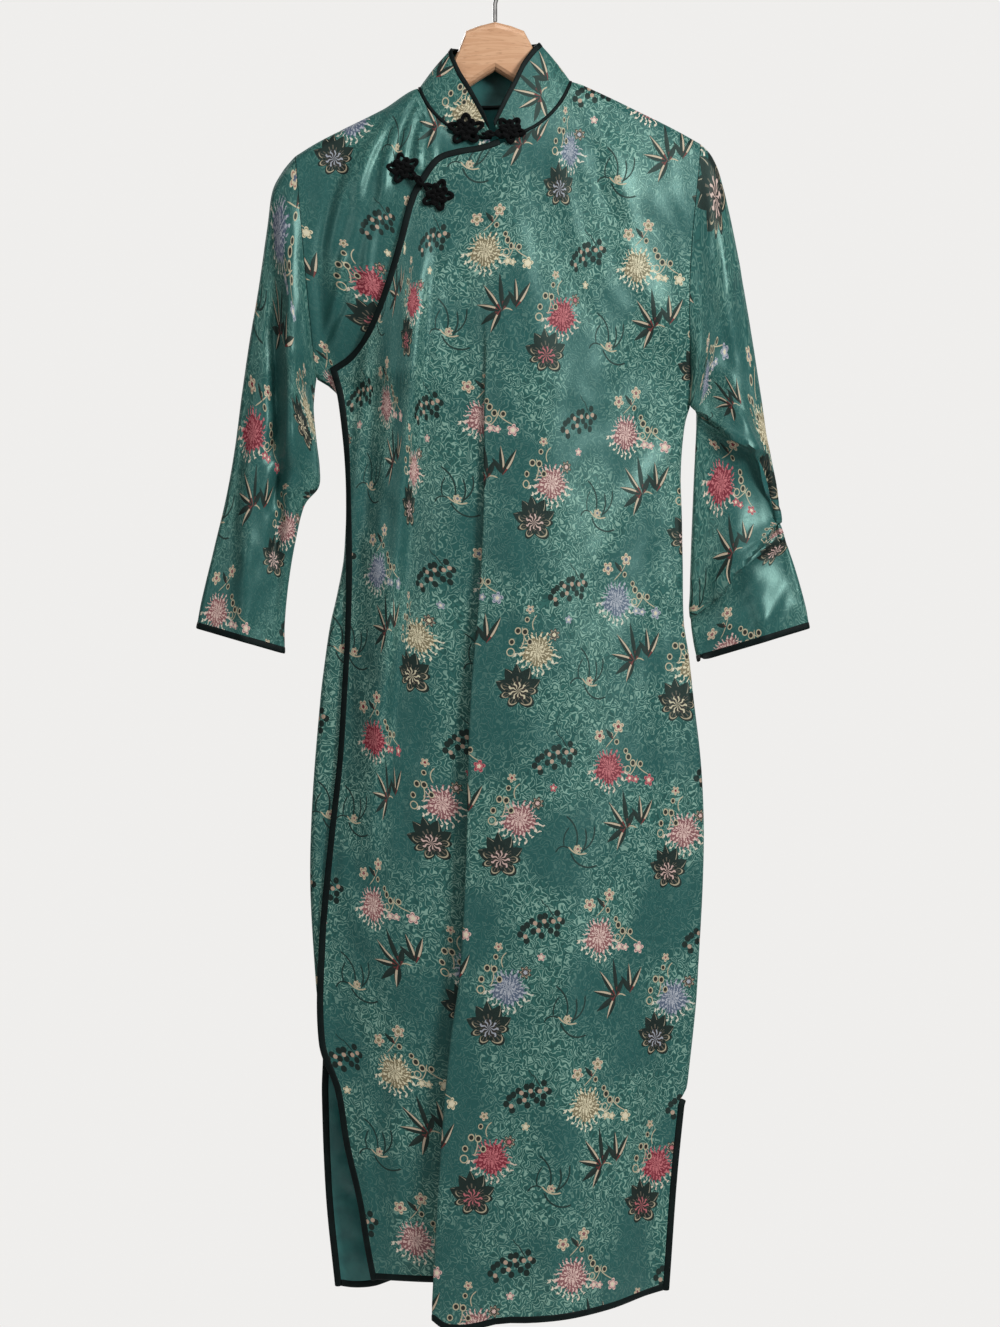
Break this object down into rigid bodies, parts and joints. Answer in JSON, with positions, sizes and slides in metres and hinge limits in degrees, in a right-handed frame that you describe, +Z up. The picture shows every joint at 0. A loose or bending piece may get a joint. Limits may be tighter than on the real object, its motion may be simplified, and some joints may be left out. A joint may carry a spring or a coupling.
{
  "type": "cheongsam dress on a hanger",
  "caption": "Long cheongsam dress with a standing collar, curved side closing, knotted frogs and side slits, hung on a wooden hanger.",
  "frame": {"origin": "inside top of the hanger's hook, where a rail or peg holds it", "axes": "+Z up, the front of the dress faces -Y, +X to the right as seen from the front"},
  "size_m": [0.614, 0.1155, 1.3699],
  "materials": {
    "brocade": "silk brocade, satin ground with woven flowers",
    "binding": "narrow satin bias binding",
    "frog": "velvet cord, matt",
    "wood": "satin lacquer",
    "steel": "satin"
  },
  "bodies": {
    "root": {"front_panel": "brocade", "underlap_front": "brocade", "side_placket": "brocade", "back_panel": "brocade", "sleeve_left": "brocade", "sleeve_right": "brocade", "collar_band": "brocade", "collar_binding": "binding", "neck_seam_piping": "binding", "front_overlap_binding": "binding", "front_hem_binding": "binding", "front_slit_binding": "binding", "back_slit_binding_left": "binding", "back_slit_binding_right": "binding", "back_hem_binding": "binding", "cuff_binding_left": "binding", "cuff_binding_right": "binding", "frog_collar_flower_left": "frog", "frog_collar_flower_right": "frog", "frog_collar_knot": "frog", "frog_chest_flower_upper": "frog", "frog_chest_flower_lower": "frog", "frog_chest_knot": "frog", "hanger_body": "wood", "hanger_hook": "steel"}
  },
  "joints": []
}
